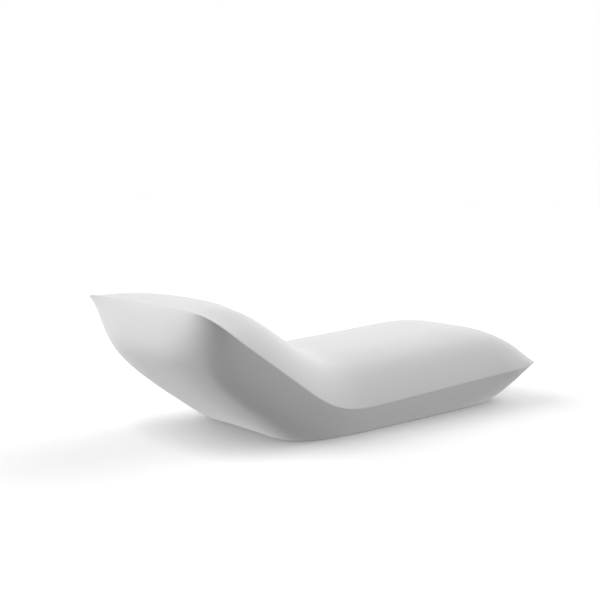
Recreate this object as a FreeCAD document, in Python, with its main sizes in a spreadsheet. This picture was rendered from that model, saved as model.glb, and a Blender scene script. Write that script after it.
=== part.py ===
# Sun lounger: a hollow pillow of polyethylene, rotationally moulded in one piece, bent at the seat and
# standing on six rubber feet, with a screw-in drain plug in its base.
# Millimetres. +X runs from the head end to the foot end, +Y to the left of the person lying on it, +Z up.
# The origin is on the floor, under the middle of the lounger's length and width.
import FreeCAD, Part
import os
import Sketcher
from FreeCAD import Vector

doc = FreeCAD.newDocument("sun_lounger")

# Driving dimensions: alias, value, what it is
SIZES = (
    ("seam_length", 2000, "head seam to foot seam, along the floor"),
    ("seam_width", 893, "left seam to right seam, between the corners"),
    ("head_seam_height", 589, "head end of the seam above the floor"),
    ("foot_seam_height", 173, "foot end of the seam above the floor"),
    ("seat_seam_height", 115, "corner of the bent seam above the floor"),
    ("seat_from_head", 684, "head end of the seam to its bend, along the floor"),
    ("end_draw_in", 9, "how far the middle of each end is drawn in behind its corners"),
    ("foot_end_arch", 19, "how far the middle of the foot end rises over its corners"),
    ("corner_flare", 20, "how far the side of the seam swings out beside each corner"),
    ("corner_blunting", 14, "how far each corner point is drawn in, along and across"),
    ("head_corner_drop", 12, "how far each head corner point is turned down"),
    ("foot_corner_lift", 12, "how far each foot corner point is turned up"),
    ("back_crown", 173, "swell of the upper skin over the seam, at the back"),
    ("seat_crown", 217, "swell of the upper skin over the seam, at the seat"),
    ("leg_crown", 196, "swell of the upper skin over the seam, at the legs"),
    ("back_belly", 209, "swell of the lower skin under the seam, at the back"),
    ("seat_belly", 193, "swell of the lower skin under the seam, at the seat"),
    ("leg_belly", 185, "swell of the lower skin under the seam, at the legs"),
    ("wall", 5, "thickness of the moulded skins"),
    ("seam_wall", 6, "thickness of the plastic behind the seam"),
    ("corner_wall", 24, "further plastic behind each corner point, along and across"),
    ("base_edge_radius", 9, "rounding between the flat base and the belly"),
    ("foot_stand", 4, "base above the floor"),
    ("foot_end_margin", 140, "end feet in from the ends of the flat base"),
    ("foot_side_margin", 135, "feet in from the sides of the flat base"),
    ("foot_diameter", 50, "rubber foot"),
    ("foot_chamfer", 2, "bevel round the foot's sole"),
    ("foot_recess", 6, "depth of the foot's seat in the base"),
    ("foot_gap", 0.2, "foot to the side of its seat"),
    ("foot_web", 5, "rubber under the screw's head"),
    ("screw_diameter", 6, "foot screw's thread"),
    ("screw_length", 16, "foot screw under its head"),
    ("screw_head_diameter", 12, "foot screw's pan head"),
    ("screw_head_height", 3.5, "foot screw's pan head"),
    ("screw_gap", 0.15, "screw to the rubber and brass round it"),
    ("drive_width", 4, "hexagon socket across its flats"),
    ("drive_depth", 2.2, "hexagon socket in the screw's head"),
    ("insert_diameter", 11, "brass insert's barrel"),
    ("insert_length", 15, "brass insert"),
    ("insert_flange_diameter", 16, "brass insert's anchoring flange"),
    ("insert_flange_height", 3, "brass insert's anchoring flange"),
    ("boss_wall", 6, "plastic round and over each insert"),
    ("thread_diameter", 24, "drain plug's thread"),
    ("thread_gap", 0.3, "drain plug to its bush and seal"),
    ("plug_wall", 3, "drain plug's hollow shank"),
    ("plug_head_diameter", 34, "drain plug's head"),
    ("plug_head_height", 5, "drain plug's head"),
    ("plug_head_chamfer", 1, "bevel round the drain plug's head"),
    ("plug_recess_gap", 2, "drain plug's head to the side of its recess, and under the base"),
    ("slot_width", 3, "coin slot in the drain plug's head"),
    ("slot_depth", 2, "coin slot in the drain plug's head"),
    ("slot_length", 26, "coin slot in the drain plug's head"),
    ("seal_thickness", 2.5, "flat seal under the drain plug's head"),
    ("seal_width", 4, "flat seal, radially"),
    ("bush_wall", 5, "drain bush"),
    ("bush_length", 14, "drain bush"),
)

# Control stations of the two skins, as shares of the run of the seam, and across its half width
BACK_STATIONS = (0.0, 0.08, 0.22, 0.45, 0.70)
LEG_STATIONS = (0.20, 0.40, 0.60, 0.78, 0.93, 1.0)
HALF_STATIONS = (1.0, 0.90, 0.68, 0.36)
# Share of the full swell next to each end
HEAD_CROWN = (0.0, 0.375, 0.9)
HEAD_BELLY = (0.0, 0.705, 0.87)
FOOT_CROWN = (0.795, 0.0)
FOOT_BELLY = (0.78, 0.0)
# Share of that swell at each half station from the seam inwards, row by row from the head end
CROWN_ACROSS = (
    (0.0, 0.59, 1.08, 1.005),
    (0.0, 0.8, 0.81, 1.005),
    (0.0, 0.8, 0.81, 1.005),
    (0.0, 0.66, 0.905, 1.005),
)
BELLY_ACROSS = (
    (0.0, 0.255, 0.77, 1.005),
    (0.0, 0.775, 0.92, 1.005),
    (0.0, 0.775, 0.92, 1.005),
    (0.0, 0.775, 0.92, 1.005),
    (0.0, 0.67, 1.175, 1.005),
)
# How the drawn-in and arched ends fade along the lounger, and each of them towards its corners
END_FADE = (1.0, 0.8, 0.35)
DRAW_FADE = (0.0, 0.3, 1.0, 1.0)
ARCH_FADE = (0.0, 0.65, 1.0, 1.0)
DEGREE = 3

ROWS = ("head", "seat", "leg")
SIDES = {"left": 1, "right": -1}

sheet = doc.addObject("Spreadsheet::Sheet", "size")
for number, (alias, value, note) in enumerate(SIZES, 1):
    sheet.set(f"A{number}", note)
    sheet.set(f"B{number}", str(value))
    sheet.setAlias(f"B{number}", alias)
doc.recompute()


def size(alias):
    """A driving dimension as a number."""
    return float(sheet.get(alias))


def bind(thing, **expressions):
    """Tie the thing's properties to expressions of the sheet; x, y and z set its place."""
    for name, expression in expressions.items():
        path = f"Placement.Base.{name}" if name in ("x", "y", "z") else name
        thing.setExpression(path, expression)


def mirrored(half):
    """The row across the whole width, from the values from one seam to just before the middle."""
    return list(half) + [1.0] + list(reversed(half))


def row_of(profiles, station):
    """The profile across the lounger at a station; the last one serves all the rows after it."""
    return profiles[min(max(station - 1, 0), len(profiles) - 1)]


def swells(along_head, back, seat, leg, along_foot):
    """Swell of a skin at each station along the lounger."""
    level = len(BACK_STATIONS) - len(along_head)
    rise = [share * back for share in along_head] + [back] * level
    level = len(LEG_STATIONS) - len(along_foot)
    return rise + [seat] + [leg] * level + [share * leg for share in along_foot]


def pillow_nets(seam_inset, skin_inset, corner_inset):
    """Control nets of the crown and the belly, inset at the seam, under the skins and at the corners."""
    head = Vector(-size("seam_length") / 2, 0, size("head_seam_height"))
    foot = Vector(size("seam_length") / 2, 0, size("foot_seam_height"))
    seat = Vector(head.x + size("seat_from_head"), 0, size("seat_seam_height"))
    back_way = (seat - head).normalize()
    leg_way = (foot - seat).normalize()
    head += back_way * seam_inset
    foot -= leg_way * seam_inset
    spine = [head + (seat - head) * share for share in BACK_STATIONS] + [seat]
    spine += [seat + (foot - seat) * share for share in LEG_STATIONS]
    ways = [back_way] * len(BACK_STATIONS) + [(back_way + leg_way).normalize()]
    ways += [leg_way] * len(LEG_STATIONS)
    crown = swells(HEAD_CROWN, size("back_crown"), size("seat_crown"), size("leg_crown"), FOOT_CROWN)
    belly = swells(HEAD_BELLY, size("back_belly"), size("seat_belly"), size("leg_belly"), FOOT_BELLY)
    head_fade = list(END_FADE) + [0.0] * (len(spine) - len(END_FADE))
    foot_fade = list(reversed(head_fade))
    across = [-share for share in HALF_STATIONS] + [0.0] + list(reversed(HALF_STATIONS))
    half_width = size("seam_width") / 2 - seam_inset
    upper = []
    lower = []
    for i, point in enumerate(spine):
        out = Vector(-ways[i].z, 0, ways[i].x)
        upper_row = []
        lower_row = []
        on_end = crown[i] == 0
        along = 1 if i else -1
        halves = (DRAW_FADE, ARCH_FADE, row_of(CROWN_ACROSS, i), row_of(BELLY_ACROSS, i))
        for share, drawn, arched, rise, fall in zip(across, *map(mirrored, halves)):
            on_side = rise == 0
            aside = 1 if share > 0 else -1
            draw = size("end_draw_in") * drawn * (head_fade[i] - foot_fade[i])
            arch = size("foot_end_arch") * arched * foot_fade[i]
            pole = point + Vector(draw, share * half_width, arch)
            if on_side and on_end:
                blunting = size("corner_blunting") + corner_inset
                turn_up = size("foot_corner_lift") if i else -size("head_corner_drop")
                pole += Vector(-along * blunting, -aside * blunting, turn_up)
            elif on_side and i in (1, len(spine) - 2):
                pole.y += aside * size("corner_flare")
            inset = 0 if on_side or on_end else skin_inset
            upper_row.append(pole + out * (crown[i] * rise - inset))
            lower_row.append(pole - out * (belly[i] * fall - inset))
        upper.append(upper_row)
        lower.append(lower_row)
    return upper, lower


def skin(net):
    """A smooth face on a control net, clamped at its edges."""
    counts = (len(net), len(net[0]))
    knots = [list(range(count - DEGREE + 1)) for count in counts]
    mults = [[DEGREE + 1] + [1] * (len(knot) - 2) + [DEGREE + 1] for knot in knots]
    surface = Part.BSplineSurface()
    surface.buildFromPolesMultsKnots(net, *mults, *knots, False, False, DEGREE, DEGREE)
    return surface.toShape()


def pillow(name, *insets):
    """The closed pillow between its two skins, which share their four edges."""
    shell = Part.Shell([skin(net) for net in pillow_nets(*insets)])
    shell.sewShape()
    solid = Part.Solid(shell)
    if solid.Volume < 0:
        solid.reverse()
    feature = doc.addObject("Part::Feature", name)
    feature.Shape = solid
    return feature


def cylinder(name, diameter, bottom, top, x, y):
    """An upright cylinder between two heights, all given as expressions."""
    feature = doc.addObject("Part::Cylinder", name)
    bind(feature, Radius=f"({diameter}) / 2", Height=f"({top}) - ({bottom})", x=x, y=y, z=bottom)
    return feature


def cut(name, base, tool):
    """The base less the tool."""
    feature = doc.addObject("Part::Cut", name)
    feature.Base = base
    feature.Tool = tool
    return feature


def join(name, pieces):
    """The pieces fused."""
    feature = doc.addObject("Part::MultiFuse", name)
    feature.Shapes = pieces
    return feature


def floor_box(name, top):
    """A block under the whole lounger, up to a height given as an expression."""
    block = doc.addObject("Part::Box", name)
    bind(block, Length="2 * size.seam_length", Width="2 * size.seam_width", Height="size.leg_belly",
         x="-size.seam_length", y="-size.seam_width", z=f"{top} - size.leg_belly")
    return block


# Heights above the floor, and diameters that follow from the sheet
FOOT_TOP = "(size.foot_stand + size.foot_recess)"
SCREW_SEAT = f"({FOOT_TOP} - size.foot_web)"
INSERT_TOP = f"({FOOT_TOP} + size.insert_length)"
FLANGE_BOTTOM = f"({INSERT_TOP} - size.insert_flange_height)"
INSERT_BOSS = "(size.insert_flange_diameter + 2 * size.boss_wall)"
FOOT_SEAT = "(size.foot_diameter + 2 * size.foot_gap)"
FOOT_BOSS = f"({FOOT_SEAT} + 2 * size.wall)"
PLUG_BOTTOM = "(size.foot_stand + size.plug_recess_gap)"
SEAL_BOTTOM = f"({PLUG_BOTTOM} + size.plug_head_height)"
BUSH_BOTTOM = f"({SEAL_BOTTOM} + size.seal_thickness)"
BUSH_TOP = f"({BUSH_BOTTOM} + size.bush_length)"
BORE = "(size.thread_diameter + 2 * size.thread_gap)"
BUSH_DIAMETER = f"({BORE} + 2 * size.bush_wall)"
PLUG_RECESS = "(size.plug_head_diameter + 2 * size.plug_recess_gap)"
DRAIN_BOSS = f"({PLUG_RECESS} + 2 * size.boss_wall)"

# The moulded body: the outer pillow, flat at its base, with its length centred on the origin
outer = pillow("outer_pillow", 0, 0, 0)
box = outer.Shape.optimalBoundingBox(False)
centring = FreeCAD.Placement(Vector(-box.Center.x, 0, 0), FreeCAD.Rotation())
outer.Placement = centring
flat = cut("flat_pillow", outer, floor_box("under_base", "size.foot_stand"))
doc.recompute()

# The flat base, which the feet and the drain take their places from
base = min(flat.Shape.Faces, key=lambda face: face.CenterOfMass.z)
base_box = base.optimalBoundingBox(False)
MEASURED = (
    ("base_head_end", base_box.XMin, "head end of the flat base"),
    ("base_foot_end", base_box.XMax, "foot end of the flat base"),
    ("base_half_width", base_box.YMax, "half the width of the flat base"),
)
for number, (alias, value, note) in enumerate(MEASURED, len(SIZES) + 1):
    sheet.set(f"A{number}", note)
    sheet.set(f"B{number}", str(value))
    sheet.setAlias(f"B{number}", alias)
ROW_PLACES = {
    "head": "(size.base_head_end + size.foot_end_margin)",
    "seat": "((size.base_head_end + size.base_foot_end) / 2)",
    "leg": "(size.base_foot_end - size.foot_end_margin)",
}
SIDE_PLACE = "(size.base_half_width - size.foot_side_margin)"
DRAIN_PLACE = f"(({ROW_PLACES['head']} + {ROW_PLACES['seat']}) / 2)"
feet = []
for row in ROWS:
    for side, sign in SIDES.items():
        feet.append((f"{row}_{side}", ROW_PLACES[row], f"{sign} * {SIDE_PLACE}"))

rounded = doc.addObject("Part::Fillet", "rounded_pillow")
rounded.Base = flat
rounded.Edges = [
    (number, size("base_edge_radius"), size("base_edge_radius"))
    for number, edge in enumerate(flat.Shape.Edges, 1)
    if edge.BoundBox.ZMax < size("foot_stand") + size("foot_gap")
]

# Its cavity, with bosses left standing round the inserts, the seats of the feet and the drain
hollow = pillow("inner_pillow", size("seam_wall"), size("wall"), size("corner_wall"))
hollow.Placement = centring
cavity = cut("flat_cavity", hollow, floor_box("inside_base", "(size.foot_stand + size.wall)"))
bosses = [cylinder("drain_boss", DRAIN_BOSS, "size.foot_stand", BUSH_TOP, DRAIN_PLACE, "0")]
cutters = [
    cylinder("plug_recess", PLUG_RECESS, "0", BUSH_BOTTOM, DRAIN_PLACE, "0"),
    cylinder("bush_socket", BUSH_DIAMETER, BUSH_BOTTOM, BUSH_TOP, DRAIN_PLACE, "0"),
]
for place, x, y in feet:
    seat_boss_top = f"({FOOT_TOP} + size.wall)"
    insert_boss_top = f"({INSERT_TOP} + size.boss_wall)"
    bosses += [
        cylinder(f"seat_boss_{place}", FOOT_BOSS, "size.foot_stand", seat_boss_top, x, y),
        cylinder(f"insert_boss_{place}", INSERT_BOSS, "size.foot_stand", insert_boss_top, x, y),
    ]
    cutters += [
        cylinder(f"foot_seat_{place}", FOOT_SEAT, "0", FOOT_TOP, x, y),
        cylinder(f"barrel_socket_{place}", "size.insert_diameter", FOOT_TOP, FLANGE_BOTTOM, x, y),
        cylinder(f"flange_socket_{place}", "size.insert_flange_diameter", FLANGE_BOTTOM, INSERT_TOP, x, y),
    ]
bossed_cavity = cut("bossed_cavity", cavity, join("bosses", bosses))
hollow_body = cut("hollow_body", rounded, bossed_cavity)
shell = cut("shell", hollow_body, join("cutters", cutters))


def make_body(label, x, y):
    """An empty body on the floor at a place given as expressions."""
    body = doc.addObject("PartDesign::Body", label)
    body.Label = label
    bind(body, x=x, y=y)
    return body


def plane_of(body, role):
    """One of the body's own origin planes."""
    return next(plane for plane in body.Origin.OriginFeatures if plane.Role == role)


def turned(body, corners):
    """Turn a closed outline about the body's axis; each corner is a radius and a height, None on the axis."""
    sketch = body.newObject("Sketcher::SketchObject", f"{body.Label}_outline")
    sketch.AttachmentSupport = [(plane_of(body, "XZ_Plane"), "")]
    sketch.MapMode = "FlatFace"
    count = len(corners)
    starts = [Vector(number, number * number, 0) for number in range(1, count + 1)]
    for number in range(count):
        sketch.addGeometry(Part.LineSegment(starts[number], starts[(number + 1) % count]), False)
    for number in range(count):
        sketch.addConstraint(Sketcher.Constraint("Coincident", number, 2, (number + 1) % count, 1))
    for number, (radius, height) in enumerate(corners):
        if radius is None:
            sketch.addConstraint(Sketcher.Constraint("PointOnObject", number, 1, -2))
        else:
            place = sketch.addConstraint(Sketcher.Constraint("DistanceX", -1, 1, number, 1, 1.0))
            sketch.setExpression(f"Constraints[{place}]", radius)
        if height is None:
            sketch.addConstraint(Sketcher.Constraint("PointOnObject", number, 1, -1))
        else:
            place = sketch.addConstraint(Sketcher.Constraint("DistanceY", -1, 1, number, 1, 1.0))
            sketch.setExpression(f"Constraints[{place}]", height)
    turn = body.newObject("PartDesign::Revolution", f"{body.Label}_turn")
    turn.Profile = sketch
    turn.ReferenceAxis = (sketch, ["V_Axis"])
    turn.Angle = 360
    return turn


def sunk(body, shape, bottom, depth):
    """Cut a sketched shape upwards into the body, from a height given as an expression."""
    sketch = body.newObject("Sketcher::SketchObject", f"{body.Label}_opening")
    sketch.AttachmentSupport = [(plane_of(body, "XY_Plane"), "")]
    sketch.MapMode = "FlatFace"
    sketch.setExpression("AttachmentOffset.Base.z", bottom)
    shape(sketch)
    pocket = body.newObject("PartDesign::Pocket", f"{body.Label}_pocket")
    pocket.Profile = sketch
    pocket.Reversed = True
    bind(pocket, Length=depth)
    return pocket


def hexagon(sketch):
    """A regular hexagon about the middle, given by its width across the flats."""
    corners = [Vector(1, 0, 0), Vector(0.5, 0.9, 0), Vector(-0.5, 0.9, 0)]
    corners += [corner * -1 for corner in corners]
    for number, corner in enumerate(corners):
        sketch.addGeometry(Part.LineSegment(corner, corners[(number + 1) % len(corners)]), False)
    circle = sketch.addGeometry(Part.Circle(Vector(0, 0, 0), Vector(0, 0, 1), 1), True)
    sketch.addConstraint(Sketcher.Constraint("Coincident", circle, 3, -1, 1))
    for number in range(len(corners)):
        after = (number + 1) % len(corners)
        sketch.addConstraint(Sketcher.Constraint("Coincident", number, 2, after, 1))
        sketch.addConstraint(Sketcher.Constraint("PointOnObject", number, 1, circle))
        if after:
            sketch.addConstraint(Sketcher.Constraint("Equal", number, after))
    sketch.addConstraint(Sketcher.Constraint("PointOnObject", 0, 1, -1))
    width = sketch.addConstraint(Sketcher.Constraint("Diameter", circle, 2.0))
    sketch.setExpression(f"Constraints[{width}]", "2 * size.drive_width / sqrt(3)")


def slot(sketch):
    """A straight coin slot about the middle."""
    corners = [Vector(-2, -1, 0), Vector(2, -1, 0), Vector(2, 1, 0), Vector(-2, 1, 0)]
    for number, corner in enumerate(corners):
        sketch.addGeometry(Part.LineSegment(corner, corners[(number + 1) % len(corners)]), False)
    for number in range(len(corners)):
        sketch.addConstraint(Sketcher.Constraint("Coincident", number, 2, (number + 1) % len(corners), 1))
        way = "Vertical" if number % 2 else "Horizontal"
        sketch.addConstraint(Sketcher.Constraint(way, number))
    sketch.addConstraint(Sketcher.Constraint("Symmetric", 0, 1, 2, 1, -1, 1))
    length = sketch.addConstraint(Sketcher.Constraint("DistanceX", 0, 1, 0, 2, 4.0))
    width = sketch.addConstraint(Sketcher.Constraint("DistanceY", 1, 1, 1, 2, 2.0))
    sketch.setExpression(f"Constraints[{length}]", "size.slot_length")
    sketch.setExpression(f"Constraints[{width}]", "size.slot_width")


def rubber_foot(label, x, y):
    """A rubber disc in its seat, counterbored for the screw's head, with a bevelled sole."""
    body = make_body(label, x, y)
    rim = "(size.foot_diameter / 2)"
    shank = "(size.screw_diameter / 2 + size.screw_gap)"
    well = "(size.screw_head_diameter / 2 + size.foot_chamfer)"
    turned(body, [
        (well, None), (f"{rim} - size.foot_chamfer", None), (rim, "size.foot_chamfer"), (rim, FOOT_TOP),
        (shank, FOOT_TOP), (shank, SCREW_SEAT), (well, SCREW_SEAT)])
    return body


def foot_screw(label, x, y):
    """A pan-head screw with a hexagon socket, its head bearing on the foot's web."""
    body = make_body(label, x, y)
    head = "size.screw_head_diameter / 2"
    shank = "size.screw_diameter / 2"
    head_bottom = f"({SCREW_SEAT} - size.screw_head_height)"
    bevel = "size.screw_head_height / 3"
    shank_top = f"({SCREW_SEAT} + size.screw_length)"
    turned(body, [
        (None, head_bottom), (f"{head} - {bevel}", head_bottom), (head, f"{head_bottom} + {bevel}"),
        (head, SCREW_SEAT), (shank, SCREW_SEAT), (shank, shank_top), (None, shank_top)])
    sunk(body, hexagon, head_bottom, "size.drive_depth")
    return body


def foot_insert(label, x, y):
    """A threaded brass barrel with an anchoring flange inside the moulding."""
    body = make_body(label, x, y)
    bore = "(size.screw_diameter / 2 + size.screw_gap)"
    barrel = "size.insert_diameter / 2"
    flange = "size.insert_flange_diameter / 2"
    turned(body, [
        (bore, FOOT_TOP), (barrel, FOOT_TOP), (barrel, FLANGE_BOTTOM), (flange, FLANGE_BOTTOM),
        (flange, INSERT_TOP), (bore, INSERT_TOP)])
    return body


def drain_bush(label):
    """A threaded bush moulded into the drain boss."""
    body = make_body(label, DRAIN_PLACE, "0")
    bore = f"{BORE} / 2"
    rim = f"{BUSH_DIAMETER} / 2"
    turned(body, [(bore, BUSH_BOTTOM), (rim, BUSH_BOTTOM), (rim, BUSH_TOP), (bore, BUSH_TOP)])
    return body


def drain_seal(label):
    """A flat rubber ring between the plug's head and the bush."""
    body = make_body(label, DRAIN_PLACE, "0")
    bore = f"{BORE} / 2"
    rim = f"({BORE} / 2 + size.seal_width)"
    turned(body, [(bore, SEAL_BOTTOM), (rim, SEAL_BOTTOM), (rim, BUSH_BOTTOM), (bore, BUSH_BOTTOM)])
    return body


def drain_plug(label):
    """A screw plug with a hollow shank and a coin slot across its bevelled head."""
    body = make_body(label, DRAIN_PLACE, "0")
    head = "(size.plug_head_diameter / 2)"
    shank = "(size.thread_diameter / 2)"
    hollow_radius = f"({shank} - size.plug_wall)"
    turned(body, [
        (None, PLUG_BOTTOM), (f"{head} - size.plug_head_chamfer", PLUG_BOTTOM),
        (head, f"{PLUG_BOTTOM} + size.plug_head_chamfer"), (head, SEAL_BOTTOM), (shank, SEAL_BOTTOM),
        (shank, BUSH_TOP), (hollow_radius, BUSH_TOP), (hollow_radius, BUSH_BOTTOM), (None, BUSH_BOTTOM)])
    sunk(body, slot, PLUG_BOTTOM, "size.slot_depth")
    return body


pieces = [shell]
for place, x, y in feet:
    pieces.append(rubber_foot(f"rubber_foot_{place}", x, y))
    pieces.append(foot_screw(f"foot_screw_{place}", x, y))
    pieces.append(foot_insert(f"foot_insert_{place}", x, y))
pieces += [drain_bush("drain_bush"), drain_seal("drain_seal"), drain_plug("drain_plug")]
doc.recompute()

# Every object has to be sound before anything is written
for thing in doc.Objects:
    if "Invalid" in thing.State or "Error" in thing.State:
        raise RuntimeError(f"{thing.Label} did not build: {thing.State}")
for piece in pieces:
    if piece.Shape.isNull() or not piece.Shape.isValid() or len(piece.Shape.Solids) != 1:
        raise RuntimeError(f"{piece.Label} is not one sound solid")

os.makedirs("parts", exist_ok=True)
for piece in pieces:
    piece.Shape.exportStep(f"parts/{piece.Label}.step")
    print(f"{piece.Label}: {piece.Shape.Volume / 1000:.1f} cm3")
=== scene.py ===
"""Sun lounger, moulded in one piece as a bent pillow: its skin, feet, drain, finishes and studio."""
import math

import bpy
from bpy.props import FloatProperty, FloatVectorProperty, IntProperty, PointerProperty
from mathutils import Matrix, Vector


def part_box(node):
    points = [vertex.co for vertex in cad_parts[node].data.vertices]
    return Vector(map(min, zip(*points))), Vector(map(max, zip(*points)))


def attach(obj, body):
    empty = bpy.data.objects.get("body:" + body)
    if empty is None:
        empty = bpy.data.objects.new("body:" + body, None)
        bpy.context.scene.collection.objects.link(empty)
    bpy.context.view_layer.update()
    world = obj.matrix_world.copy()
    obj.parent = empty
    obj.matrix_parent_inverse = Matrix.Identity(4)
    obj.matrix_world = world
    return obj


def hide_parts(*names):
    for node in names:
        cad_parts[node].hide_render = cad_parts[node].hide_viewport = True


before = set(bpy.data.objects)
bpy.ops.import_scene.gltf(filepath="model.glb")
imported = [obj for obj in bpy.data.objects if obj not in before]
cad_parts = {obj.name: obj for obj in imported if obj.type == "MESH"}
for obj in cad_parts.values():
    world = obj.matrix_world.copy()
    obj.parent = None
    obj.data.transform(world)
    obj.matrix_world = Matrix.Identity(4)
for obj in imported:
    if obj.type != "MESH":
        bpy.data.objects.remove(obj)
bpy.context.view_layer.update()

bl_info = {
    "name": "Moulded Sun Lounger",
    "version": (1, 0, 0),
    "blender": (4, 5, 0),
    "location": "3D View > Sidebar > Lounger",
    "description": "Builds a pillow-shaped sun lounger, its finishes and its studio",
    "category": "Add Mesh",
}

MM = 0.001
# Mesh steps round a turned piece, round a cutter and over the edge of a screw's head
ROUND_STEPS = 64
CUTTER_STEPS = 96
DOME_STEPS = 4
# How far below the floor a cutter starts
CUTTER_DROP = 20 * MM
# Points nearer than these are one point: on a finished piece, and where the skins meet or the base is cut
SAME_POINT = 0.001 * MM
SEWN_POINT = 0.01 * MM
# Edges of up to the first angle are shaded smooth, and edges from the second on are rounded, in degrees
SMOOTH_ANGLE = 35
SHARP_ANGLE = 40
# Depth of a thread, and the flat in its root and on either side of its crest, as shares of its pitch
THREAD_DEPTH = 0.6
THREAD_FLAT = 0.1
PLUG_STARTS = 2
# Grooves round a foot's sole, and how far their sides lean, as a share of their depth
TREADS = 2
TREAD_LEAN = 1 / 3
# How far a wave texture of scale 1 goes until it repeats
WAVE_LENGTH = math.pi / 10
FLOOR_SIZE = 60.0
# Off centre, so that the line between the floor's two triangles runs clear of the lounger
FLOOR_SHIFT = 10.0
# Soft lights at the foot end, beyond the far side of the head and above the near side:
# turn and height in degrees, and strength
SOFT_LIGHTS = ((-2, 1, 5.3), (133, 3, 5.2), (255, 45, 0.7))
PLACES = [f"{row}_{side}" for row in ("head", "seat", "leg") for side in ("left", "right")]

# Control stations of the two skins, as shares of the run of the seam, and across its half width
BACK_STATIONS = (0.0, 0.08, 0.22, 0.45, 0.70)
LEG_STATIONS = (0.20, 0.40, 0.60, 0.78, 0.93, 1.0)
HALF_STATIONS = (1.0, 0.90, 0.68, 0.36)
# Share of the full swell next to each end
HEAD_CROWN = (0.0, 0.375, 0.9)
HEAD_BELLY = (0.0, 0.705, 0.87)
FOOT_CROWN = (0.795, 0.0)
FOOT_BELLY = (0.78, 0.0)
# Share of that swell at each half station from the seam inwards, row by row from the head end
CROWN_ACROSS = (
    (0.0, 0.59, 1.08, 1.005),
    (0.0, 0.8, 0.81, 1.005),
    (0.0, 0.8, 0.81, 1.005),
    (0.0, 0.66, 0.905, 1.005),
)
BELLY_ACROSS = (
    (0.0, 0.255, 0.77, 1.005),
    (0.0, 0.775, 0.92, 1.005),
    (0.0, 0.775, 0.92, 1.005),
    (0.0, 0.775, 0.92, 1.005),
    (0.0, 0.67, 1.175, 1.005),
)
# How the drawn-in and arched ends fade along the lounger, and each of them towards its corners
END_FADE = (1.0, 0.8, 0.35)
DRAW_FADE = (0.0, 0.3, 1.0, 1.0)
ARCH_FADE = (0.0, 0.65, 1.0, 1.0)


def linear(hex_colour):
    """An sRGB hex colour as linear red, green and blue."""
    parts = [int(hex_colour[place:place + 2], 16) / 255 for place in (1, 3, 5)]
    return tuple(part / 12.92 if part <= 0.04045 else ((part + 0.055) / 1.055) ** 2.4 for part in parts)


def length(name, description, millimetres):
    """A length property, given in millimetres."""
    return FloatProperty(name=name, description=description, default=millimetres * MM, unit="LENGTH")


def colour(name, description, hex_colour):
    """A colour property, given as an sRGB hex colour."""
    return FloatVectorProperty(
        name=name, description=description, subtype="COLOR", size=3, min=0, max=1,
        default=linear(hex_colour))


class LoungerForm(bpy.types.PropertyGroup):
    """Sizes of the moulded pillow."""
    seam_length: length("Seam length", "Head seam to foot seam, along the floor", 2000)
    seam_width: length("Seam width", "Left seam to right seam, between the corners", 893)
    head_seam_height: length("Head seam height", "Head end of the seam above the floor", 589)
    foot_seam_height: length("Foot seam height", "Foot end of the seam above the floor", 173)
    seat_seam_height: length("Seat seam height", "Corner of the bent seam above the floor", 115)
    seat_from_head: length("Seat from head", "Head end of the seam to its bend", 684)
    end_draw_in: length("End draw-in", "Middle of each end behind its corners", 9)
    foot_end_arch: length("Foot end arch", "Middle of the foot end over its corners", 19)
    corner_flare: length("Corner flare", "How far the seam swings out beside each corner", 20)
    corner_blunting: length("Corner blunting", "How far each corner point is drawn in", 14)
    head_corner_drop: length("Head corner drop", "How far each head corner is turned down", 12)
    foot_corner_lift: length("Foot corner lift", "How far each foot corner is turned up", 12)
    back_crown: length("Back crown", "Swell of the upper skin at the back", 173)
    seat_crown: length("Seat crown", "Swell of the upper skin at the seat", 217)
    leg_crown: length("Leg crown", "Swell of the upper skin at the legs", 196)
    back_belly: length("Back belly", "Swell of the lower skin at the back", 209)
    seat_belly: length("Seat belly", "Swell of the lower skin at the seat", 193)
    leg_belly: length("Leg belly", "Swell of the lower skin at the legs", 185)
    seam_bevel: length("Seam bevel", "Rounding of the seam, on each side of its ridge", 3)
    base_bevel: length("Base bevel", "Rounding between the belly and the flat base", 5)
    steps: IntProperty(name="Steps", description="Mesh steps to each control station", default=10, min=2)


class LoungerFittings(bpy.types.PropertyGroup):
    """Sizes of the feet, screws and drain pieces beyond those of the frame."""
    foot_gap: length("Foot gap", "Rubber foot to the side of its seat, and to its screw", 0.2)
    tread_width: length("Tread width", "Width of each groove round the foot's sole", 2.5)
    tread_depth: length("Tread depth", "Depth of each groove round the foot's sole", 1.2)
    sole_bevel: length("Sole bevel", "Bevel round the foot's sole", 2)
    well_radius: length("Well radius", "Well in the foot's sole that the screw's head lies in", 8)
    web: length("Web", "Rubber under the screw's head", 5)
    head_height: length("Screw head height", "Foot screw's pan head", 3.5)
    screw_radius: length("Screw radius", "Foot screw's thread", 3)
    screw_pitch: length("Screw pitch", "Foot screw's thread", 1)
    drive_width: length("Drive width", "Hexagon socket across its flats", 4)
    drive_depth: length("Drive depth", "Hexagon socket in the screw's head", 2.2)
    plug_gap: length("Plug gap", "Drain plug's head to the side of its recess", 2)
    plug_head_height: length("Plug head height", "Drain plug's head", 5)
    plug_radius: length("Plug radius", "Drain plug's thread", 12)
    plug_lead: length("Plug lead", "Way of the drain plug's thread in one turn", 3)
    plug_wall: length("Plug wall", "Drain plug's hollow shank", 3)
    slot_length: length("Slot length", "Coin slot in the drain plug's head", 26)
    slot_width: length("Slot width", "Coin slot in the drain plug's head", 3)
    slot_depth: length("Slot depth", "Coin slot in the drain plug's head", 2)
    seal_width: length("Seal width", "Flat seal, radially", 4)
    edge: length("Edge", "Rounding of the moulded edges", 0.4)


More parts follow.
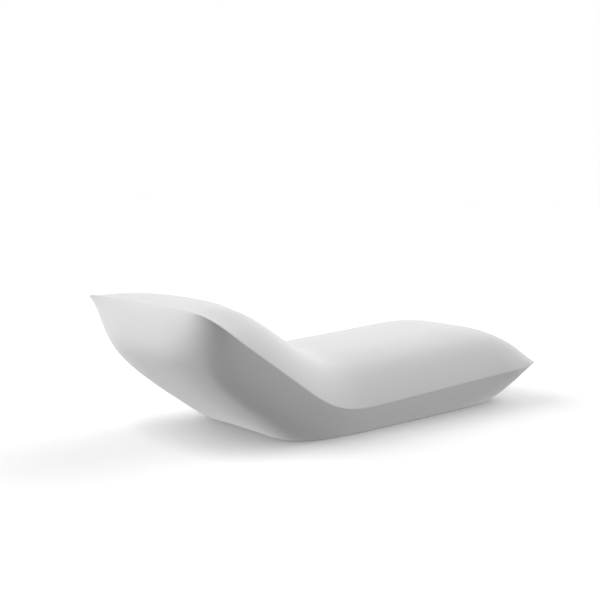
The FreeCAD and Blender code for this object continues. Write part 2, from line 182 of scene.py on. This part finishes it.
class LoungerFinish(bpy.types.PropertyGroup):
    """Colours of the materials."""
    polyethylene: colour("Polyethylene", "Moulded body", "#EEEEEE")
    polypropylene: colour("Polypropylene", "Drain plug", "#DEDEDA")
    bush_grey: colour("Bush grey", "Drain bush", "#8E9092")
    rubber: colour("Rubber", "Feet and seal", "#1D1D1E")
    steel: colour("Steel", "Foot screws", "#B7B8BA")
    brass: colour("Brass", "Threaded inserts", "#C6A257")


class LoungerStudio(bpy.types.PropertyGroup):
    """Camera, floor and lights."""
    turn: FloatProperty(
        name="Turn", description="Camera's turn about the lounger", subtype="ANGLE",
        default=math.radians(-40.03))
    pitch: FloatProperty(
        name="Pitch", description="Camera's tilt below the horizon", subtype="ANGLE",
        default=math.radians(6.753))
    distance: FloatProperty(
        name="Distance", description="Camera to the aim, along its axis", default=4.703, unit="LENGTH")
    aim: FloatVectorProperty(
        name="Aim", description="Point of the lounger that the frame is set by", default=(0.0043, 0, 0.25),
        subtype="XYZ", unit="LENGTH")
    aim_place: FloatVectorProperty(
        name="Aim in frame", description="Where the aim falls, in pixels from the frame's upper left corner",
        size=2, default=(327.39, 359.0))
    focal_pixels: FloatProperty(name="Focal length", description="In pixels of the frame", default=1018.2)
    frame_pixels: FloatProperty(name="Frame", description="Frame's width and height in pixels", default=600)
    light_focus: FloatProperty(
        name="Light focus", description="How fast each soft light falls off round its middle", default=4)
    fill: FloatProperty(name="Fill", description="Even light from all round", default=0.01)
    floor_glow: FloatProperty(
        name="Floor glow", description="Light that the floor throws back", default=0.21)
    # Painted shadow: ambient occlusion darkens the floor's white along the base, over this reach and by this
    # share
    painted_shadow_reach: length("Contact reach", "How far the floor is darkened from the base", 240)
    painted_shadow_depth: FloatProperty(
        name="Contact depth", description="How much darker the floor is along the base", default=0.36)
    floor_gain: FloatProperty(
        name="Floor gain", description="How much brighter the eye sees the floor", default=1.34)


# Scene helpers

def deselect_all():
    """Leave edit mode with nothing selected and no active object."""
    if bpy.context.object and bpy.context.object.mode != "OBJECT":
        bpy.ops.object.mode_set(mode="OBJECT")
    bpy.ops.object.select_all(action="DESELECT")
    bpy.context.view_layer.objects.active = None


def choose(*things):
    """Select only these objects, with the first one active."""
    deselect_all()
    for thing in things:
        thing.select_set(True)
    bpy.context.view_layer.objects.active = things[0]


def edit_selection(thing, kind, test):
    """Enter edit mode on the object with the elements of one kind selected that pass the test."""
    choose(thing)
    mesh = thing.data
    for elements in (mesh.vertices, mesh.edges, mesh.polygons):
        elements.foreach_set("select", [False] * len(elements))
    elements = {"VERT": mesh.vertices, "EDGE": mesh.edges, "FACE": mesh.polygons}[kind]
    for element in elements:
        element.select = test(element)
    bpy.ops.object.mode_set(mode="EDIT")
    bpy.ops.mesh.select_mode(type=kind)


def close_mesh(threshold):
    """In edit mode, merge points that coincide, point the faces outwards and leave edit mode."""
    bpy.ops.mesh.select_all(action="SELECT")
    bpy.ops.mesh.remove_doubles(threshold=threshold)
    bpy.ops.mesh.normals_make_consistent(inside=False)
    bpy.ops.object.mode_set(mode="OBJECT")


def finish_edit(thing):
    """Merge points that coincide, point the faces outwards and smooth the shading but for sharp edges."""
    choose(thing)
    bpy.ops.object.mode_set(mode="EDIT")
    close_mesh(SAME_POINT)
    choose(thing)
    bpy.ops.object.shade_smooth_by_angle(angle=math.radians(SMOOTH_ANGLE))


def add_modifier(thing, kind, **settings):
    """Add a modifier with its settings and apply it."""
    choose(thing)
    modifier = thing.modifiers.new(kind.title(), kind)
    for name, value in settings.items():
        setattr(modifier, name, value)
    bpy.ops.object.modifier_apply(modifier=modifier.name)


def dress(thing, material):
    """Give the object one material."""
    thing.data.materials.clear()
    thing.data.materials.append(material)


def half_width(low, high):
    """Half of a box's width along X: the radius of a round node."""
    return (high.x - low.x) / 2


def stand_in_for(piece, body, node):
    """Let the piece ride a body of the frame in place of one of its nodes."""
    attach(piece, body)
    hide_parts(node)


# Materials

def add(tree, kind, links=None, **settings):
    """Add a node, set its properties and sockets by name, and link its inputs."""
    node = tree.nodes.new(kind)
    for name, value in settings.items():
        if hasattr(node, name):
            setattr(node, name, value)
        else:
            node.inputs[name.replace("_", " ")].default_value = value
    for name, output in (links or {}).items():
        tree.links.new(output, node.inputs[name])
    return node


def new_material(name):
    """An empty material, its tree, its shader and its Object coordinates."""
    material = bpy.data.materials.new(name)
    material.use_nodes = True
    tree = material.node_tree
    shader = tree.nodes["Principled BSDF"]
    place = add(tree, "ShaderNodeTexCoord").outputs["Object"]
    return material, tree, shader, place


def vary(tree, socket, value, low, high):
    """Drive a shader socket between two numbers from a pattern's value."""
    spread = add(tree, "ShaderNodeMapRange", {"Value": value}, To_Min=low, To_Max=high)
    tree.links.new(spread.outputs["Result"], socket)


def mottle(tree, shader, value, base, other):
    """Drift the base colour between two close colours."""
    mix = add(tree, "ShaderNodeMix", {"Factor": value}, data_type="RGBA")
    for name, shade in (("A", base), ("B", other)):
        socket = next(s for s in mix.inputs if s.name == name and s.type == "RGBA")
        socket.default_value = (*shade, 1)
    result = next(s for s in mix.outputs if s.type == "RGBA")
    tree.links.new(result, shader.inputs["Base Color"])


def roughen(tree, shader, height, strength, depth):
    """Give the shader a bump from a height pattern, with its real depth in metres."""
    bump = add(tree, "ShaderNodeBump", {"Height": height}, Strength=strength, Distance=depth)
    tree.links.new(bump.outputs["Normal"], shader.inputs["Normal"])


def shaded(base, share):
    """The colour made darker by a share."""
    return tuple(part * (1 - share) for part in base)


def rotomoulded_polyethylene(finish):
    """Linear polyethylene, rotationally moulded: satin, faintly mottled, with the mould's fine stipple."""
    material, tree, shader, place = new_material("Rotomoulded_polyethylene_white")
    shader.inputs["IOR"].default_value = 1.51
    cloud_width = 90 * MM
    cloud = add(tree, "ShaderNodeTexNoise", {"Vector": place}, Scale=1 / cloud_width, Detail=3.0)
    base = tuple(finish.polyethylene)
    mottle(tree, shader, cloud.outputs["Fac"], base, shaded(base, share=0.03))
    vary(tree, shader.inputs["Roughness"], cloud.outputs["Fac"], low=0.28, high=0.36)
    # The stipple is under 1 mm on the real skin, and is drawn at 2 mm so that it shows close up
    stipple_width = 2 * MM
    stipple = add(tree, "ShaderNodeTexNoise", {"Vector": place}, Scale=1 / stipple_width, Detail=2.0)
    roughen(tree, shader, stipple.outputs["Fac"], strength=0.12, depth=0.15 * MM)
    return material


def moulded_polypropylene(name, base):
    """Injection-moulded polypropylene: harder and a little glossier, with a fine eroded grain."""
    material, tree, shader, place = new_material(name)
    shader.inputs["IOR"].default_value = 1.49
    grain_width = 0.7 * MM
    grain = add(tree, "ShaderNodeTexNoise", {"Vector": place}, Scale=1 / grain_width, Detail=2.0)
    mottle(tree, shader, grain.outputs["Fac"], base, shaded(base, share=0.06))
    vary(tree, shader.inputs["Roughness"], grain.outputs["Fac"], low=0.34, high=0.44)
    roughen(tree, shader, grain.outputs["Fac"], strength=0.2, depth=0.05 * MM)
    return material


def moulded_rubber(name, base):
    """Black EPDM rubber: dull, with a grey bloom and a coarse moulded grain."""
    material, tree, shader, place = new_material(name)
    shader.inputs["IOR"].default_value = 1.52
    bloom_width = 9 * MM
    bloom_lift = 0.012
    bloom = add(tree, "ShaderNodeTexNoise", {"Vector": place}, Scale=1 / bloom_width, Detail=4.0)
    bloomed = tuple(part + bloom_lift for part in base)
    mottle(tree, shader, bloom.outputs["Fac"], shaded(base, share=0.3), bloomed)
    vary(tree, shader.inputs["Roughness"], bloom.outputs["Fac"], low=0.66, high=0.84)
    grain_width = 0.8 * MM
    grain = add(tree, "ShaderNodeTexVoronoi", {"Vector": place}, Scale=1 / grain_width)
    roughen(tree, shader, grain.outputs["Distance"], strength=0.25, depth=0.08 * MM)
    return material


def turned_metal(name, base, low, high):
    """Machined metal: fine turning lines round its axis that break up the reflection."""
    material, tree, shader, place = new_material(name)
    shader.inputs["Metallic"].default_value = 1.0
    # Real turning lines are about 0.1 mm apart, and are drawn wider so that they show close up
    spacing = 0.47 * MM
    lines = add(
        tree, "ShaderNodeTexWave", {"Vector": place}, bands_direction="Z", Scale=WAVE_LENGTH / spacing,
        Distortion=2.0)
    mottle(tree, shader, lines.outputs["Fac"], base, shaded(base, share=0.12))
    vary(tree, shader.inputs["Roughness"], lines.outputs["Fac"], low, high)
    roughen(tree, shader, lines.outputs["Fac"], strength=0.15, depth=0.02 * MM)
    return material


def blend(tree, share, first, second):
    """A shader between two others."""
    mix = add(tree, "ShaderNodeMixShader", {"Fac": share})
    tree.links.new(first.outputs[0], mix.inputs[1])
    tree.links.new(second.outputs[0], mix.inputs[2])
    return mix


def studio_floor(studio):
    """White floor with the lounger's shadow, clear from below.

    The eye meets matt white with painted shadow along the base, a gloss plain white and other light a grey
    glow.
    """
    material, tree, shader, _ = new_material("Studio_floor")
    tree.nodes.remove(shader)
    output = next(node for node in tree.nodes if node.type == "OUTPUT_MATERIAL")
    path = add(tree, "ShaderNodeLightPath").outputs
    level = add(
        tree, "ShaderNodeMapRange", {"Value": path["Is Glossy Ray"]}, To_Min=studio.floor_glow, To_Max=1.0)
    glow = add(tree, "ShaderNodeEmission", {"Strength": level.outputs["Result"]})
    white = add(tree, "ShaderNodeBsdfDiffuse")
    # Painted shadow: ambient occlusion darkens the floor's colour along the base, on top of its lit shadow
    close = add(tree, "ShaderNodeAmbientOcclusion", Distance=studio.painted_shadow_reach)
    painted_shadow_level = studio.floor_gain * (1 - studio.painted_shadow_depth)
    vary(tree, white.inputs["Color"], close.outputs["AO"], painted_shadow_level, studio.floor_gain)
    below = add(tree, "ShaderNodeNewGeometry").outputs["Backfacing"]
    clear = add(tree, "ShaderNodeBsdfTransparent")
    upper = blend(tree, path["Is Camera Ray"], glow, white)
    tree.links.new(blend(tree, below, upper, clear).outputs[0], output.inputs["Surface"])
    return material


def seen_ray(tree):
    """1 for rays from the eye, straight or by way of a gloss or a clear body."""
    path = add(tree, "ShaderNodeLightPath").outputs
    gloss = add(tree, "ShaderNodeMath", operation="MAXIMUM")
    tree.links.new(path["Is Camera Ray"], gloss.inputs[0])
    tree.links.new(path["Is Glossy Ray"], gloss.inputs[1])
    clear = add(tree, "ShaderNodeMath", operation="MAXIMUM")
    tree.links.new(gloss.outputs[0], clear.inputs[0])
    tree.links.new(path["Is Transmission Ray"], clear.inputs[1])
    return clear.outputs[0]


# The moulded body

def mirrored(half):
    """The row across the whole width, from the values from one seam to just before the middle."""
    return list(half) + [1.0] + list(reversed(half))


def row_of(profiles, station):
    """The profile across at a station: the first also serves the head end, the last all that follow."""
    return profiles[min(max(station - 1, 0), len(profiles) - 1)]


def swells(along_head, back, seat, leg, along_foot):
    """Swell of a skin at each station along the lounger."""
    level = len(BACK_STATIONS) - len(along_head)
    rise = [share * back for share in along_head] + [back] * level
    level = len(LEG_STATIONS) - len(along_foot)
    return rise + [seat] + [leg] * level + [share * leg for share in along_foot]


def pillow_nets(form):
    """Control nets of the crown and the belly."""
    head = Vector((-form.seam_length / 2, 0, form.head_seam_height))
    foot = Vector((form.seam_length / 2, 0, form.foot_seam_height))
    seat = Vector((head.x + form.seat_from_head, 0, form.seat_seam_height))
    back_way = (seat - head).normalized()
    leg_way = (foot - seat).normalized()
    spine = [head.lerp(seat, share) for share in BACK_STATIONS] + [seat]
    spine += [seat.lerp(foot, share) for share in LEG_STATIONS]
    ways = [back_way] * len(BACK_STATIONS) + [(back_way + leg_way).normalized()]
    ways += [leg_way] * len(LEG_STATIONS)
    crown = swells(HEAD_CROWN, form.back_crown, form.seat_crown, form.leg_crown, FOOT_CROWN)
    belly = swells(HEAD_BELLY, form.back_belly, form.seat_belly, form.leg_belly, FOOT_BELLY)
    head_fade = list(END_FADE) + [0.0] * (len(spine) - len(END_FADE))
    foot_fade = list(reversed(head_fade))
    across = [-share for share in HALF_STATIONS] + [0.0] + list(reversed(HALF_STATIONS))
    upper = []
    lower = []
    for i, point in enumerate(spine):
        out = Vector((-ways[i].z, 0, ways[i].x))
        upper_row = []
        lower_row = []
        along = 1 if i else -1
        halves = (DRAW_FADE, ARCH_FADE, row_of(CROWN_ACROSS, i), row_of(BELLY_ACROSS, i))
        for share, drawn, arched, rise, fall in zip(across, *map(mirrored, halves)):
            on_side = rise == 0
            aside = 1 if share > 0 else -1
            draw = form.end_draw_in * drawn * (head_fade[i] - foot_fade[i])
            arch = form.foot_end_arch * arched * foot_fade[i]
            pole = point + Vector((draw, share * form.seam_width / 2, arch))
            if on_side and crown[i] == 0:
                turn_up = form.foot_corner_lift if i else -form.head_corner_drop
                pole += Vector((-along * form.corner_blunting, -aside * form.corner_blunting, turn_up))
            elif on_side and i in (1, len(spine) - 2):
                pole.y += aside * form.corner_flare
            upper_row.append(pole + out * crown[i] * rise)
            lower_row.append(pole - out * belly[i] * fall)
        upper.append(upper_row)
        lower.append(lower_row)
    return upper, lower


def skin(name, net, steps):
    """A smooth sheet on a control net, clamped at its edges, as a mesh of even quads."""
    deselect_all()
    surface = bpy.data.curves.new(name, "SURFACE")
    surface.dimensions = "3D"
    for row in net:
        spline = surface.splines.new("NURBS")
        spline.points.add(len(row) - 1)
        for point, pole in zip(spline.points, row):
            point.co = (*pole, 1)
            point.select = True
    sheet = bpy.data.objects.new(name, surface)
    bpy.context.collection.objects.link(sheet)
    choose(sheet)
    bpy.ops.object.mode_set(mode="EDIT")
    bpy.ops.curve.make_segment()
    bpy.ops.object.mode_set(mode="OBJECT")
    patch = surface.splines[0]
    patch.order_u = patch.order_v = 4
    patch.use_endpoint_u = patch.use_endpoint_v = True
    patch.resolution_u = patch.resolution_v = steps
    bpy.ops.object.convert(target="MESH")
    return bpy.context.object


def sew(crown, belly):
    """Join the two skins along their shared edges and mark the seam."""
    choose(crown, belly)
    bpy.ops.object.join()
    bpy.ops.object.mode_set(mode="EDIT")
    bpy.ops.mesh.select_mode(type="EDGE")
    bpy.ops.mesh.select_all(action="DESELECT")
    bpy.ops.mesh.select_non_manifold()
    bpy.ops.mesh.mark_seam(clear=False)
    close_mesh(SEWN_POINT)
    return crown


def centre_on_shell(body):
    """Slide the body along the floor until it lies over the shell of the frame."""
    low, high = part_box("shell")
    ends = [vertex.co.x for vertex in body.data.vertices]
    choose(body)
    bpy.ops.transform.translate(value=((low.x + high.x - min(ends) - max(ends)) / 2, 0, 0))
    bpy.ops.object.transform_apply(location=True, rotation=False, scale=False)


def cut_base(body, form):
    """Cut the belly flat at the base and round the edge; round the seam's ridge too."""
    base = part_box("shell")[0].z
    edit_selection(body, "FACE", lambda face: True)
    bpy.ops.mesh.bisect(plane_co=(0, 0, base), plane_no=(0, 0, 1), use_fill=True, clear_inner=True)
    bpy.ops.object.mode_set(mode="OBJECT")
    heights = [vertex.co.z for vertex in body.data.vertices]
    rim = {index for index, height in enumerate(heights) if height < base + SEWN_POINT}
    edit_selection(body, "EDGE", lambda edge: set(edge.vertices) <= rim)
    bpy.ops.mesh.bevel(offset=form.base_bevel, segments=3, affect="EDGES", clamp_overlap=True)
    bpy.ops.object.mode_set(mode="OBJECT")
    edit_selection(body, "EDGE", lambda edge: edge.use_seam)
    bpy.ops.mesh.bevel(offset=form.seam_bevel, segments=4, affect="EDGES", clamp_overlap=True)
    bpy.ops.mesh.select_all(action="SELECT")
    bpy.ops.mesh.mark_seam(clear=True)
    bpy.ops.object.mode_set(mode="OBJECT")


def round_cutter(low, high, clearance):
    """A cylinder round a node with a clearance, from under the floor to the node's top."""
    deselect_all()
    radius = half_width(low, high) + clearance
    middle = (low + high) / 2
    depth = high.z + CUTTER_DROP
    bpy.ops.mesh.primitive_cylinder_add(
        vertices=CUTTER_STEPS, radius=radius, depth=depth, location=(middle.x, middle.y, high.z - depth / 2))
    return bpy.context.object


def carve(body, cutters):
    """Take the cutters out of the body, and the cutters out of the scene."""
    for cutter in cutters:
        add_modifier(body, "BOOLEAN", object=cutter, operation="DIFFERENCE", solver="EXACT")
        choose(cutter)
        bpy.ops.object.delete()


class LOUNGER_OT_moulded_body(bpy.types.Operator):
    """Sew the crown and the belly into one pillow, cut its base and seat its feet and drain"""
    bl_idname = "lounger.moulded_body"
    bl_label = "Moulded Body"

    def execute(self, context):
        """Build the body from the form's sizes."""
        form = context.scene.lounger_form
        fittings = context.scene.lounger_fittings
        upper, lower = pillow_nets(form)
        crown = skin("moulded_body", upper, form.steps)
        belly = skin("belly", lower, form.steps)
        body = sew(crown, belly)
        centre_on_shell(body)
        cut_base(body, form)
        cutters = [round_cutter(*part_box(f"rubber_foot_{place}"), fittings.foot_gap) for place in PLACES]
        plug_low, plug_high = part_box("drain_plug")
        bush_low, bush_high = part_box("drain_bush")
        plug_high.z = bush_low.z
        cutters.append(round_cutter(plug_low, plug_high, fittings.plug_gap))
        cutters.append(round_cutter(bush_low, bush_high, 0))
        carve(body, cutters)
        finish_edit(body)
        body.data.name = body.name
        dress(body, rotomoulded_polyethylene(context.scene.lounger_finish))
        stand_in_for(body, "lounger", "shell")
        return {"FINISHED"}


# Feet and drain pieces

def turned_piece(name, rings, closed):
    """A round piece about the origin's axis, led from ring to ring; each ring is a radius and a height."""
    deselect_all()
    radius, height = rings[0]
    later_rings = rings[1:] + rings[:1] if closed else rings[1:]
    fill = "NOTHING" if closed else "NGON"
    bpy.ops.mesh.primitive_circle_add(
        vertices=ROUND_STEPS, radius=radius, fill_type=fill, location=(0, 0, height))
    piece = bpy.context.object
    piece.name = piece.data.name = name
    bpy.ops.object.transform_apply(location=True, rotation=False, scale=False)
    bpy.ops.object.mode_set(mode="EDIT")
    bpy.ops.mesh.select_mode(type="EDGE")
    bpy.ops.mesh.select_all(action="SELECT")
    for ring in later_rings:
        bpy.ops.mesh.extrude_edges_move(TRANSFORM_OT_translate={"value": (0, 0, ring[1] - height)})
        share = ring[0] / radius
        bpy.ops.transform.resize(value=(share, share, 1), center_override=(0, 0, ring[1]))
        radius, height = ring
    if not closed:
        bpy.ops.mesh.edge_face_add()
    close_mesh(SAME_POINT)
    return piece


def thread_rings(radius, pitch, bottom, top):
    """Rings of a thread's crests and roots, from its top down."""
    root = radius - THREAD_DEPTH * pitch
    flat = THREAD_FLAT * pitch
    rings = [(root, top)]
    for turn in range(int((top - bottom) / pitch)):
        crest = top - (turn + 0.5) * pitch
        valley = crest - pitch / 2
        rings += [(radius, crest + flat), (radius, crest - flat), (root, valley + flat), (root, valley)]
    return rings


def soften(piece, width):
    """Round the piece's sharp edges, and smooth its shading."""
    sharp = math.radians(SHARP_ANGLE)
    add_modifier(piece, "BEVEL", width=width, segments=2, limit_method="ANGLE", angle_limit=sharp)
    finish_edit(piece)


def copied(piece, name, place):
    """A copy of the piece with its own mesh, moved to a place on the floor."""
    choose(piece)
    bpy.ops.object.duplicate()
    copy = bpy.context.object
    copy.name = copy.data.name = name
    bpy.ops.transform.translate(value=place)
    bpy.ops.object.transform_apply(location=True, rotation=False, scale=False)
    return copy


def middle_of(node):
    """The place on the floor under the middle of a node of the frame."""
    low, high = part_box(node)
    return Vector(((low.x + high.x) / 2, (low.y + high.y) / 2, 0))


def treaded_foot(fittings):
    """A rubber disc with grooves round its sole, a well for the screw's head and a hole for its shank."""
    low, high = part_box("rubber_foot_head_left")
    rim = half_width(low, high)
    top = high.z
    sole = rim - fittings.sole_bevel
    shank = fittings.screw_radius + fittings.foot_gap
    land = (sole - fittings.well_radius - TREADS * fittings.tread_width) / (TREADS + 1)
    flank = TREAD_LEAN * fittings.tread_depth
    rings = [(rim, top), (rim, fittings.sole_bevel), (sole, 0)]
    for number in range(TREADS):
        outside = sole - land - number * (land + fittings.tread_width)
        inside = outside - fittings.tread_width
        rings += [(outside, 0), (outside - flank, fittings.tread_depth)]
        rings += [(inside + flank, fittings.tread_depth), (inside, 0)]
    ledge = top - fittings.web
    rings += [(fittings.well_radius, 0), (fittings.well_radius, ledge), (shank, ledge), (shank, top)]
    foot = turned_piece("treaded_foot", rings, True)
    soften(foot, fittings.edge)
    return foot


def socket_screw(fittings):
    """A pan-head screw with a domed edge, a hexagon socket and a thread."""
    low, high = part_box("foot_screw_head_left")
    head = half_width(low, high)
    neck = low.z + fittings.head_height
    rings = thread_rings(fittings.screw_radius, fittings.screw_pitch, neck + fittings.screw_pitch, high.z)
    rings += [(fittings.screw_radius - fittings.edge, neck), (head, neck)]
    dome = fittings.head_height / 2
    for step in range(DOME_STEPS):
        swing = math.pi / 2 * (step + 0.5) / DOME_STEPS
        rings.append((head - dome * (1 - math.cos(swing)), low.z + dome * (1 - math.sin(swing))))
    rings.append((head - dome, low.z))
    screw = turned_piece("socket_screw", rings, False)
    deselect_all()
    depth = 2 * fittings.drive_depth
    bpy.ops.mesh.primitive_cylinder_add(
        vertices=6, radius=fittings.drive_width / math.sqrt(3), depth=depth, location=(0, 0, low.z))
    carve(screw, [bpy.context.object])
    finish_edit(screw)
    return screw


def slotted_plug(fittings):
    """A screw plug with a hollow threaded shank and a coin slot across its head."""
    low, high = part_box("drain_plug")
    head = half_width(low, high)
    shoulder = low.z + fittings.plug_head_height
    bore = fittings.plug_radius - fittings.plug_wall
    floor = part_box("drain_bush")[0].z
    pitch = fittings.plug_lead / PLUG_STARTS
    chamfer = 2 * fittings.edge
    rings = [(bore, floor), (bore, high.z)]
    rings += thread_rings(fittings.plug_radius, pitch, shoulder + fittings.plug_lead, high.z)
    rings += [(fittings.plug_radius - pitch / 2, shoulder), (head, shoulder)]
    rings += [(head, low.z + chamfer), (head - chamfer, low.z)]
    plug = turned_piece("slotted_plug", rings, False)
    deselect_all()
    bpy.ops.mesh.primitive_cube_add(size=1, location=(0, 0, low.z))
    cutter = bpy.context.object
    bpy.ops.transform.resize(value=(fittings.slot_length, fittings.slot_width, 2 * fittings.slot_depth))
    bpy.ops.object.transform_apply(location=False, rotation=False, scale=True)
    carve(plug, [cutter])
    soften(plug, fittings.edge / 2)
    return plug


def flat_seal(fittings):
    """A flat rubber ring with rounded edges."""
    low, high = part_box("drain_seal")
    rim = half_width(low, high)
    bore = rim - fittings.seal_width
    seal = turned_piece("flat_seal", [(rim, low.z), (rim, high.z), (bore, high.z), (bore, low.z)], True)
    soften(seal, fittings.edge)
    return seal


class LOUNGER_OT_feet(bpy.types.Operator):
    """Model one rubber foot and its screw, and set a pair at each seat in the base"""
    bl_idname = "lounger.feet"
    bl_label = "Feet"

    def execute(self, context):
        """Build the pair, copy it to the six seats and dress the inserts over them."""
        finish = context.scene.lounger_finish
        fittings = context.scene.lounger_fittings
        foot = treaded_foot(fittings)
        screw = socket_screw(fittings)
        dress(foot, moulded_rubber("Moulded_rubber_black", tuple(finish.rubber)))
        dress(screw, turned_metal("Stainless_steel_turned", tuple(finish.steel), low=0.24, high=0.38))
        brass = turned_metal("Brass_turned", tuple(finish.brass), low=0.26, high=0.42)
        for place in PLACES:
            spot = middle_of(f"rubber_foot_{place}")
            foot_copy = copied(foot, f"treaded_foot_{place}", spot)
            screw_copy = copied(screw, f"socket_screw_{place}", spot)
            stand_in_for(foot_copy, "lounger", f"rubber_foot_{place}")
            stand_in_for(screw_copy, "lounger", f"foot_screw_{place}")
            dress(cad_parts[f"foot_insert_{place}"], brass)
        choose(foot, screw)
        bpy.ops.object.delete()
        return {"FINISHED"}


class LOUNGER_OT_drain(bpy.types.Operator):
    """Model the drain plug and its seal, and dress the bush that they close"""
    bl_idname = "lounger.drain"
    bl_label = "Drain"

    def execute(self, context):
        """Build the plug and the seal at the drain."""
        finish = context.scene.lounger_finish
        fittings = context.scene.lounger_fittings
        spot = middle_of("drain_plug")
        pieces = (
            (slotted_plug(fittings), "drain_plug", "white_polypropylene",
             moulded_polypropylene("Moulded_polypropylene_white", tuple(finish.polypropylene))),
            (flat_seal(fittings), "drain_seal", "black_rubber",
             moulded_rubber("Moulded_rubber_seal", tuple(finish.rubber))),
        )
        for piece, node, slot, material in pieces:
            choose(piece)
            bpy.ops.transform.translate(value=spot)
            bpy.ops.object.transform_apply(location=True, rotation=False, scale=False)
            dress(piece, material)
            stand_in_for(piece, node, node)
        bush = moulded_polypropylene("Moulded_polypropylene_grey", tuple(finish.bush_grey))
        dress(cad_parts["drain_bush"], bush)
        return {"FINISHED"}


class LOUNGER_OT_studio(bpy.types.Operator):
    """Lay the floor, light the studio and set the camera at the photograph's view"""
    bl_idname = "lounger.studio"
    bl_label = "Studio"

    def execute(self, context):
        """Build the floor, the world and the camera."""
        studio = context.scene.lounger_studio
        deselect_all()
        bpy.ops.mesh.primitive_plane_add(size=FLOOR_SIZE, location=(0, FLOOR_SHIFT, 0))
        bpy.ops.object.transform_apply(location=True, rotation=False, scale=False)
        floor = bpy.context.object
        floor.name = "floor"
        dress(floor, studio_floor(studio))
        self.light_world(context.scene, studio)
        self.place_camera(context.scene, studio)
        context.scene.view_settings.view_transform = "Standard"
        return {"FINISHED"}

    def light_world(self, scene, studio):
        """Soft lights and a little even fill for the light, and plain white for the eye."""
        world = bpy.data.worlds.new("Studio_glow")
        scene.world = world
        # Light is gathered ray by ray, so that each ray meets the strength meant for its kind
        world.cycles.sampling_method = "NONE"
        world.use_nodes = True
        tree = world.node_tree
        sky = tree.nodes["Background"]
        sky.inputs["Color"].default_value = (1, 1, 1, 1)
        way = add(tree, "ShaderNodeTexCoord").outputs["Generated"]
        glow = add(tree, "ShaderNodeValue")
        glow.outputs[0].default_value = studio.fill
        for turn, height, strength in SOFT_LIGHTS:
            light = self.soft_light(tree, way, math.radians(turn), math.radians(height), studio.light_focus)
            sum_so_far = glow.outputs[0]
            glow = add(tree, "ShaderNodeMath", operation="MULTIPLY_ADD")
            tree.links.new(light, glow.inputs[0])
            glow.inputs[1].default_value = strength
            tree.links.new(sum_so_far, glow.inputs[2])
        level = add(tree, "ShaderNodeMix", {"Factor": seen_ray(tree), "A": glow.outputs[0]}, B=1.0)
        tree.links.new(level.outputs["Result"], sky.inputs["Strength"])

    def soft_light(self, tree, way, turn, height, focus):
        """Strength of one soft light along a way: full at its middle, none a quarter turn off."""
        middle = (math.cos(turn) * math.cos(height), math.sin(turn) * math.cos(height), math.sin(height))
        towards = add(tree, "ShaderNodeVectorMath", operation="DOT_PRODUCT")
        tree.links.new(way, towards.inputs[0])
        towards.inputs[1].default_value = middle
        front = add(tree, "ShaderNodeMath", operation="MAXIMUM")
        tree.links.new(towards.outputs["Value"], front.inputs[0])
        front.inputs[1].default_value = 0
        fall = add(tree, "ShaderNodeMath", operation="POWER")
        tree.links.new(front.outputs[0], fall.inputs[0])
        fall.inputs[1].default_value = focus
        return fall.outputs[0]

    def place_camera(self, scene, studio):
        """Stand the camera so that the aim falls on its place in the frame."""
        turn = studio.turn
        right = Vector((math.cos(turn), math.sin(turn), 0))
        level = Vector((-math.sin(turn), math.cos(turn), 0))
        ahead = level * math.cos(studio.pitch) - Vector((0, 0, math.sin(studio.pitch)))
        up = right.cross(ahead)
        half = studio.frame_pixels / 2
        scale = studio.distance / studio.focal_pixels
        aside = (studio.aim_place[0] - half) * scale
        below = (studio.aim_place[1] - half) * scale
        lens = bpy.data.cameras.new("Studio_camera")
        lens.sensor_width = 36.0
        lens.lens = studio.focal_pixels / studio.frame_pixels * lens.sensor_width
        lens.clip_end = FLOOR_SIZE * 2
        camera = bpy.data.objects.new("Studio_camera", lens)
        bpy.context.collection.objects.link(camera)
        camera.location = Vector(studio.aim) - ahead * studio.distance - right * aside + up * below
        turned = Matrix((right, up, -ahead)).transposed()
        camera.rotation_euler = turned.to_euler()
        scene.camera = camera


class LOUNGER_PT_panel(bpy.types.Panel):
    """Buttons and sizes of the lounger"""
    bl_idname = "LOUNGER_PT_panel"
    bl_label = "Sun Lounger"
    bl_space_type = "VIEW_3D"
    bl_region_type = "UI"
    bl_category = "Lounger"

    def draw(self, context):
        """List the operators, then the sizes and colours."""
        for operator in OPERATORS:
            self.layout.operator(operator.bl_idname)
        for group in (getattr(context.scene, name) for name in GROUPS):
            box = self.layout.box()
            for name in group.__annotations__:
                box.prop(group, name)


GROUPS = {
    "lounger_form": LoungerForm,
    "lounger_fittings": LoungerFittings,
    "lounger_finish": LoungerFinish,
    "lounger_studio": LoungerStudio,
}
OPERATORS = (LOUNGER_OT_moulded_body, LOUNGER_OT_feet, LOUNGER_OT_drain, LOUNGER_OT_studio)


def register():
    """Register the classes and hang the property groups on the scene."""
    for item in (*GROUPS.values(), *OPERATORS, LOUNGER_PT_panel):
        bpy.utils.register_class(item)
    for name, group in GROUPS.items():
        setattr(bpy.types.Scene, name, PointerProperty(type=group))


def unregister():
    """Take the property groups off the scene and forget the classes."""
    for name in GROUPS:
        delattr(bpy.types.Scene, name)
    for item in (LOUNGER_PT_panel, *reversed(OPERATORS), *reversed(GROUPS.values())):
        bpy.utils.unregister_class(item)


def main():
    """Build the lounger and its studio."""
    register()
    bpy.ops.lounger.moulded_body()
    bpy.ops.lounger.feet()
    bpy.ops.lounger.drain()
    bpy.ops.lounger.studio()


if __name__ == "__main__":
    main()
